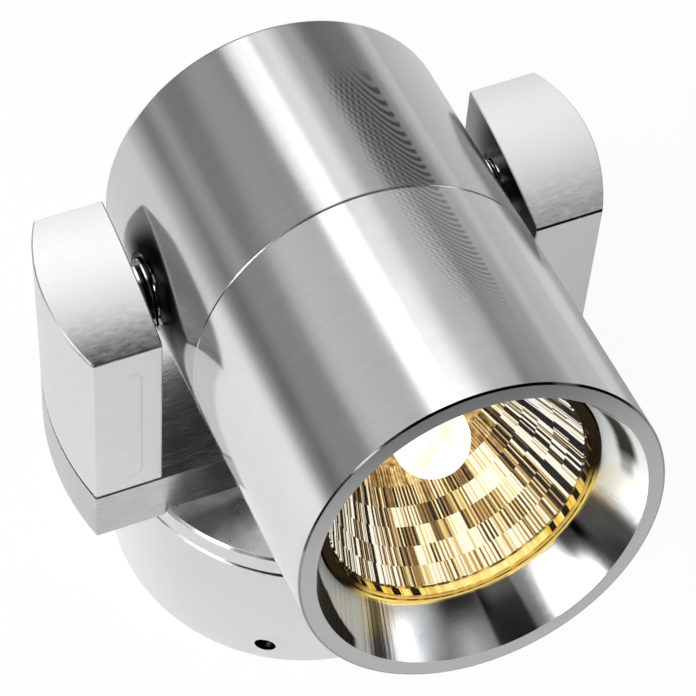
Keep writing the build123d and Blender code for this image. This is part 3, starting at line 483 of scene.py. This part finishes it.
for finish, names in wearers.items():
    for name in names:
        mesh = nodes[name].data
        mesh.materials.clear()
        mesh.materials.append(finishes[finish])
bare = sorted(set(nodes) - {name for names in wearers.values() for name in names})
print("finishes set:", len(finishes), "nodes left bare:", bare)

# mirror coat of the lamp bowl: rings of flat facets cut into narrow strips, and a notched band at the glass's edge
mirror = {"Rings": 9, "Facets": 44, "Strips": 6, "Start": 36.6, "End": 64.75, "Wall": 1.8, "Hole": 6.9,
          "Band": 23.425, "Band end": 66.5, "Seed": 7}
bowl = {"slope": 15.55, "neck": 144.0, "neckReach": 34.9}  # radius squared along the bowl, in mm
mirrorBuild = {"ringKey": 1000, "weld": 0.000001}  # step between two rings' facet numbers, and metres


def mirrorTree(look, coat):
    tree = bpy.data.node_groups.new("mirrorFacets", "GeometryNodeTree")
    for name, value in look.items():
        kind = "NodeSocketInt" if isinstance(value, int) else "NodeSocketFloat"
        tree.interface.new_socket(name=name, in_out="INPUT", socket_type=kind)
    tree.interface.new_socket(name="Geometry", in_out="OUTPUT", socket_type="NodeSocketGeometry")
    start = Wire(tree)
    given = tree.nodes.new("NodeGroupInput").outputs
    rings, facets, strips, begin, end, wall, hole, band, bandEnd, seed = [Wire(tree, given[name]) for name in look]
    rows = rings * 2
    shape = start.node("GeometryNodeMeshGrid", None, {
        "Size X": 1.0, "Size Y": 1.0, "Vertices X": facets * strips + 1, "Vertices Y": rows + 1})
    spot = start.node("GeometryNodeInputPosition")
    turn = (start.node("ShaderNodeSeparateXYZ", None, {0: spot}, 0) + 0.5) * fullTurn
    height = (start.node("ShaderNodeSeparateXYZ", None, {0: spot}, 1) + 0.5) * rows
    facetTurn = fullTurn / facets
    # tones for each strip and each facet, kept on the faces
    faceRing = ((height.floor() - 1) / 2).floor()
    faceSlip = (faceRing % 2) * facetTurn * 0.5
    facet = faceRing * mirrorBuild["ringKey"] + ((turn + faceSlip) / facetTurn).floor()
    index = start.node("GeometryNodeInputIndex")
    stripTone, facetTone = [
        start.node("FunctionNodeRandomValue", {"data_type": "FLOAT"}, {2: 0.0, 3: 1.0, 7: which, 8: seed}, 1)
        for which in (index, facet)]
    tones = {"stripTone": stripTone, "facetTone": facetTone, "ringPlace": faceRing / (rings - 1)}
    for name, value in tones.items():
        shape = start.node("GeometryNodeStoreNamedAttribute", {"data_type": "FLOAT", "domain": "FACE"},
                           {"Geometry": shape, "Name": name, "Value": value})
    # the first row is the floor round the capsule, then each ring has two rows of points of its own
    level = (height + 0.5).floor()
    ring = ((level - 1) / 2).floor()
    upper = level - 1 - ring * 2
    onFloor, onBand = level < 0.5, ring > rings - 1.5
    step = (end - begin) / (rings - 1)
    reach = begin + step * (ring + upper) * (1 - onFloor)
    within = (turn + (ring % 2) * facetTurn * 0.5) % facetTurn - facetTurn * 0.5
    radius = (bowl["neck"] + (reach - bowl["neckReach"]) * bowl["slope"]) ** 0.5 - wall
    radius = radius * (facetTurn * 0.5).cosine() / within.cosine()
    reach = reach * (1 - onBand) + onBand * (end + (bandEnd - end) * upper)
    radius = onFloor * hole + onBand * band + (1 - onFloor) * (1 - onBand) * radius
    reach, radius = reach * millimetre, radius * millimetre
    rise = radius * turn.sine()
    moved = start.node("ShaderNodeCombineXYZ", None, {
        0: radius * turn.cosine(),
        1: reach * forwards.y + rise * upwards.y,
        2: reach * forwards.z + rise * upwards.z + head["pivot"].z})
    for kind, inputs in (("SetPosition", {"Position": moved}), ("MergeByDistance", {"Distance": mirrorBuild["weld"]}),
                         ("SetShadeSmooth", {"Shade Smooth": False}), ("RealizeInstances", {}),
                         ("SetMaterial", {"Material": coat})):
        shape = start.node("GeometryNode" + kind, None, dict(inputs, Geometry=shape))
    start.node("NodeGroupOutput", None, {0: shape})
    return tree


# the coat's tones, all glowing as painted reflections of the lit capsule: golden facets below the capsule, bright and
# dark bars at the sides, an amber band at the edge
def mirrorCoat(look):
    made, start, place = newFinish("mirrorCoat")
    strip, facet, ring = [start.node("ShaderNodeAttribute", {"attribute_name": name}, None, "Fac")
                          for name in ("stripTone", "facetTone", "ringPlace")]
    sideways, rise = [place.along(axis, head["pivot"]) for axis in (rightwards, upwards)]
    turn = rise.angle(sideways)
    degrees = (turn * inDegrees) % 360
    low = 0 - (turn - look["lean"]).sine()
    flank = low.span(*look["flank"])
    # facets below the capsule: plain or striped, each with its own tone, paler towards the mouth
    stripes = (turn * (mirror["Facets"] * look["stripesEach"]) + facet * look["stripeShift"]).sine()
    stripes = stripes * ((facet * look["stripePick"]) % 1.0)
    middle = ring.span(*look["middleRise"]) + ring.span(*look["middleFoot"]) + stripes * look["stripeDepth"]
    middle = middle + (facet - 0.5) * look["middleFacets"] + (strip - 0.5) * look["middleStrips"]
    middle = middle + degrees.within(*look["lighter"]) * look["lighterBy"]
    # at the sides: long bars, shifted a little from facet to facet
    onLeft = sideways < 0
    broken = turn + (facet - 0.5) * look["barBreak"]
    bars = onLeft * broken.ridges(*look["leftBars"])
    bars = bars + (1 - onLeft) * broken.ridges(*look["rightBars"])
    brownFrom = turn.span(*look["brownFrom"])
    brown = brownFrom * turn.span(*look["brownTo"])
    sides = (bars - 0.5) * (look["barDepth"] - onLeft * look["barLeftLess"])
    sides = sides + look["sideTone"] - onLeft * look["sideLeftLess"]
    sides = sides + (strip - 0.5) * look["sideStrips"] + (facet - 0.5) * look["sideFacets"]
    sides = sides - brown * look["brownDepth"] - ring.span(*look["outerRings"]) * brownFrom
    for window, amount in look["sideLifts"]:
        sides = sides + degrees.within(*window) * amount
    # near the capsule: a softer golden brown, with a painted highlight at its right
    close = ring.span(*look["closest"]) + ring.span(*look["close"])
    wavy = (place.noise(*look["waves"]) - 0.5) * look["waveDepth"] + look["closeTone"]
    tone = close * wavy + (1 - close) * (flank * sides + (1 - flank) * middle)
    patch = facet > look["patchPick"]
    for step in look["patchRings"]:
        patch = patch * ring.span(*step)
    for step in look["patchTurns"]:
        patch = patch * turn.span(*step)
    tone = tone + patch * look["patchLift"]
    pale = flank * (1 - close) * (look["paleShare"] - brown * look["paleBrownLess"] - onLeft * look["paleLeftLess"])
    colour = pale.blend(tone.ramp(look["warm"]), tone.ramp(look["silver"]))
    # the band at the glass's edge is amber, with dark notches in places, and painted shade with thin lines at the top
    count = (turn * (look["notches"] / fullTurn)) % 1.0
    someNotches = degrees.within(*look["someNotches"]) * (turn.ridges(*look["notchNoise"]) > look["notchPick"])
    notch = (count < look["notchWide"]) * (degrees.within(*look["allNotches"]) + someNotches)
    amber = turn.ridges(*look["amberNoise"]).span(*look["amberEdges"]).blend(look["amber"], look["yellow"])
    amber = (degrees.within(*look["yolk"]) * look["yolkShare"]).blend(amber, look["yolkColour"])
    shaded = (count < look["lineWide"]).blend(look["shadowColour"], look["lineColour"])
    banded = low.span(*look["shadow"]).blend(notch.blend(amber, look["notchColour"]), shaded)
    colour = (ring > look["bandFrom"]).blend(colour, banded)
    closeFinish(start, colour=colour.dimmed(look["mirrored"]), metal=1.0, rough=look["rough"], edge=black,
                glow=colour, glowLevel=look["glow"])
    return made


# ring places run from 0 at the capsule to 1 at the edge, steps round the axis are in radians, windows in degrees
coatLook = {"lean": 0.21, "glow": 0.92, "mirrored": 0.2, "rough": 0.3, "flank": (1, 0, 0.62, 0.9),
            "stripesEach": 4, "stripeShift": 40, "stripePick": 7.3, "stripeDepth": 0.6,
            "middleRise": (0.42, 0.86, 0.4, 0.9), "middleFoot": (0.14, 0, 0.2, 0.4), "middleFacets": 0.6,
            "middleStrips": 0.65, "lighter": (240, 260, 3), "lighterBy": 0.14,
            "leftBars": (20.0, 2.0, 0.7), "rightBars": (9.0, 2.0, 0.8), "barBreak": 0.05, "barDepth": 15,
            "barLeftLess": 4,
            "sideTone": 0.46, "sideLeftLess": 0.08, "sideStrips": 0.55, "sideFacets": 0.45,
            "sideLifts": [((341, 358, 4), 0.2), ((200, 220, 4), 0.1)],
            "brownFrom": (0, 1, -0.8, -0.6), "brownTo": (1, 0, -0.45, -0.25), "brownDepth": 0.34,
            "outerRings": (0, 0.25, 0.78, 0.86),
            "closest": (0.45, 0, 0.12, 0.3), "close": (0.55, 0, 0.2, 0.55), "waves": (900.0, 3.0), "waveDepth": 1.1,
            "closeTone": 0.54, "patchPick": 0.35, "patchLift": 0.45,
            "patchRings": [(0, 1, 0.3, 0.4), (1, 0, 0.55, 0.62)],
            "patchTurns": [(0, 1, -1.28, -1.2), (1, 0, -0.8, -0.72)],
            "paleShare": 0.6, "paleBrownLess": 0.5, "paleLeftLess": 0.15,
            "warm": [(0.0, (0.008, 0.004, 0.001)), (0.2, (0.07, 0.032, 0.009)), (0.4, (0.22, 0.122, 0.038)),
                     (0.55, (0.485, 0.283, 0.091)), (0.7, (0.75, 0.53, 0.18)), (0.85, (0.94, 0.81, 0.42)),
                     (1.0, (1.0, 0.98, 0.78))],
            "silver": [(0.0, (0.002, 0.001, 0.0005)), (0.25, (0.026, 0.018, 0.009)), (0.45, (0.141, 0.107, 0.061)),
                       (0.6, (0.352, 0.305, 0.223)), (0.75, (0.679, 0.644, 0.565)), (0.9, (0.973, 0.965, 0.939)),
                       (1.0, (1.0, 1.0, 1.0))],
            "bandFrom": 0.99, "notches": 38, "notchWide": 0.42, "allNotches": (205, 252, 1),
            "someNotches": (312, 350, 1), "notchNoise": (5.0, 1.0), "notchPick": 0.47,
            "notchColour": (0.012, 0.006, 0.002, 1),
            "amberNoise": (14.0, 2.0), "amberEdges": (0, 1, 0.4, 0.6), "amber": (0.85, 0.48, 0.03, 1),
            "yellow": (1.0, 0.86, 0.3, 1), "yolk": (258, 304, 8), "yolkShare": 0.6, "yolkColour": (1.0, 0.85, 0.36, 1),
            "lineWide": 0.07, "lineColour": (0.4, 0.24, 0.05, 1), "shadow": (1, 0, 0.4, 0.6),
            "shadowColour": (0.012, 0.007, 0.002, 1)}


def treePiece(name, tree, values):
    piece = bpy.data.objects.new(name, bpy.data.meshes.new(name))
    scene.collection.objects.link(piece)
    wiring = piece.modifiers.new("nodes", "NODES")
    wiring.node_group = tree
    for socket in tree.interface.items_tree:
        if socket.in_out == "INPUT":
            wiring[socket.identifier] = values[socket.name]
    bpy.context.view_layer.update()
    evaluated = piece.evaluated_get(bpy.context.evaluated_depsgraph_get())
    solid = bpy.data.meshes.new_from_object(evaluated)
    piece.modifiers.clear()
    piece.data = solid
    solid.name = name
    return piece


facetCoat = treePiece("mirrorFacets", mirrorTree(mirror, mirrorCoat(coatLook)), mirror)
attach(facetCoat, "lamp")
print("mirror facets:", len(facetCoat.data.polygons), "faces")

# studio: floor, soft boxes, world and camera
studio = {"floor": 0.92, "farFloor": 0.2, "side": 5.0, "drop": 0.0002, "seenGlow": 0.94,
          "mirrorGlow": 0.05, "rightGlow": (0, 0.38, 0.2, 0.7),
          "leftFar": (0, 1, 0.36, 0.8), "leftSide": (1, 0, -0.3, 0.1), "front": (0, 1, 0.25, 0.29),
          "horizon": 0.29, "zenith": 0.03, "lowSky": (1, 0, 0.1, 0.7), "backSky": (0, 1, -0.1, 0.4),
          "aim": Vector((0, 0, 0.08))}


def studioFloor():
    made, start, place = newFinish("studioFloor")
    seen, mirrored, through = [start.node("ShaderNodeLightPath", None, None, out)
                               for out in ("Is Camera Ray", "Is Glossy Ray", "Is Transmission Ray")]
    east = place.along(rightwards)
    mirrored = mirrored * (east.span(*studio["rightGlow"]) + studio["mirrorGlow"])
    share = ((seen + through) * studio["seenGlow"] + mirrored).clip()
    away = start.node("ShaderNodeVectorMath", {"operation": "LENGTH"}, {0: place}, 1)
    left = away.span(*studio["leftFar"]) * east.span(*studio["leftSide"])
    far = left.larger(place.along(frontwards).span(*studio["front"]))  # the paper ends on the left and in front
    tone = far.blend(grey(studio["floor"]), grey(studio["farFloor"]))
    paint = start.node("ShaderNodeBsdfDiffuse", None, {"Color": tone})
    glow = start.node("ShaderNodeEmission", None, {"Color": grey(1), "Strength": 1.0})
    both = start.node("ShaderNodeMixShader", None, {0: share, 1: paint, 2: glow})
    start.node("ShaderNodeOutputMaterial", None, {"Surface": both})
    mesh = bpy.data.meshes.new("studioFloor")
    corners = [(-1, -1), (1, -1), (1, 1), (-1, 1)]
    mesh.from_pydata([(x * studio["side"], y * studio["side"], -studio["drop"]) for x, y in corners],
                     [], [(0, 1, 2, 3)])
    mesh.materials.append(made)
    piece = bpy.data.objects.new("studioFloor", mesh)
    scene.collection.objects.link(piece)


softBoxes = {  # azimuth from straight behind towards the right, elevation, distance, width, height, brightness
    "backKey": (-2.2, 42.0, 1.3, 0.3, 0.82, 1.75),
    "backRight": (23.5, 54.0, 1.4, 0.67, 1.0, 1.4),
    "shoulder": (13.0, 26.0, 1.4, 0.26, 0.34, 0.85),
    "backRightLow": (29.0, 26.0, 1.4, 0.42, 0.34, 0.41),
    "backLeft": (-28.0, 30.0, 1.4, 0.65, 0.6, 0.46),
    "lowRight": (40.0, 9.0, 1.4, 0.34, 0.36, 0.1),
    "topRight": (24.0, 78.0, 1.4, 0.4, 0.14, 0.4),
    "frontLeft": (-137.0, 33.0, 1.3, 0.16, 0.3, 2.5),
    "highRight": (116.0, 60.0, 1.3, 0.4, 0.3, 2.4),
    "highLeft": (-121.0, 59.0, 1.3, 0.26, 0.2, 3.0),
    "leftMain": (-106.0, 41.0, 1.3, 0.8, 0.8, 8.0),
    "rightMain": (104.0, 34.0, 1.3, 0.5, 0.45, 3.0),
}


def softBox(name, azimuth, elevation, distance, wide, high, level):
    a, e = math.radians(azimuth), math.radians(elevation)
    towards = Vector((math.sin(a) * math.cos(e), math.cos(a) * math.cos(e), math.sin(e)))
    lamp = bpy.data.lights.new(name, "AREA")
    lamp.shape, lamp.size, lamp.size_y = "RECTANGLE", wide, high
    lamp.energy = level * math.pi * wide * high
    box = bpy.data.objects.new(name, lamp)
    box.location = studio["aim"] + towards * distance
    box.rotation_euler = towards.to_track_quat("Z", "Y").to_euler()
    box.visible_camera = False
    scene.collection.objects.link(box)


def studioWorld():
    world = bpy.data.worlds.new("studioWorld")
    world.use_nodes = True
    world.node_tree.nodes.clear()
    start = Wire(world.node_tree)
    sky = start.node("ShaderNodeTexCoord")
    low = sky.along(skywards).span(*studio["lowSky"]) * sky.along(backwards).span(*studio["backSky"])
    colour = low.blend(grey(studio["zenith"]), grey(studio["horizon"]))  # bright only low at the back
    seen = start.node("ShaderNodeLightPath", None, None, "Is Camera Ray")
    colour = seen.blend(colour, grey(studio["seenGlow"]))  # a pale backdrop behind the floor
    surface = start.node("ShaderNodeBackground", None, {"Color": colour})
    start.node("ShaderNodeOutputWorld", None, {"Surface": surface})
    scene.world = world


studioFloor()
studioWorld()
for name, settings in softBoxes.items():
    softBox(name, *settings)

shot = {"focal": 3777.81, "frame": 696.0, "sensor": 36.0, "near": 0.01, "azimuth": math.radians(-25.56),
        "elevation": math.radians(59.18), "roll": math.radians(5.01), "place": Vector((-0.14848, -0.32667, 0.65731))}
back = Vector((math.sin(shot["azimuth"]) * math.cos(shot["elevation"]),
               -math.cos(shot["azimuth"]) * math.cos(shot["elevation"]), math.sin(shot["elevation"])))
right = Vector((math.cos(shot["azimuth"]), math.sin(shot["azimuth"]), 0))
above = back.cross(right)
rightTurned = right * math.cos(shot["roll"]) + above * math.sin(shot["roll"])
aboveTurned = above * math.cos(shot["roll"]) - right * math.sin(shot["roll"])
turnedFrame = Matrix((rightTurned, aboveTurned, back)).transposed().to_4x4()
lens = bpy.data.cameras.new("photoCamera")
lens.sensor_width, lens.lens = shot["sensor"], shot["focal"] * shot["sensor"] / shot["frame"]
lens.clip_start = shot["near"]
camera = bpy.data.objects.new("photoCamera", lens)
camera.matrix_world = Matrix.Translation(shot["place"]) @ turnedFrame
scene.collection.objects.link(camera)
scene.camera = camera
print("studio and camera ready")
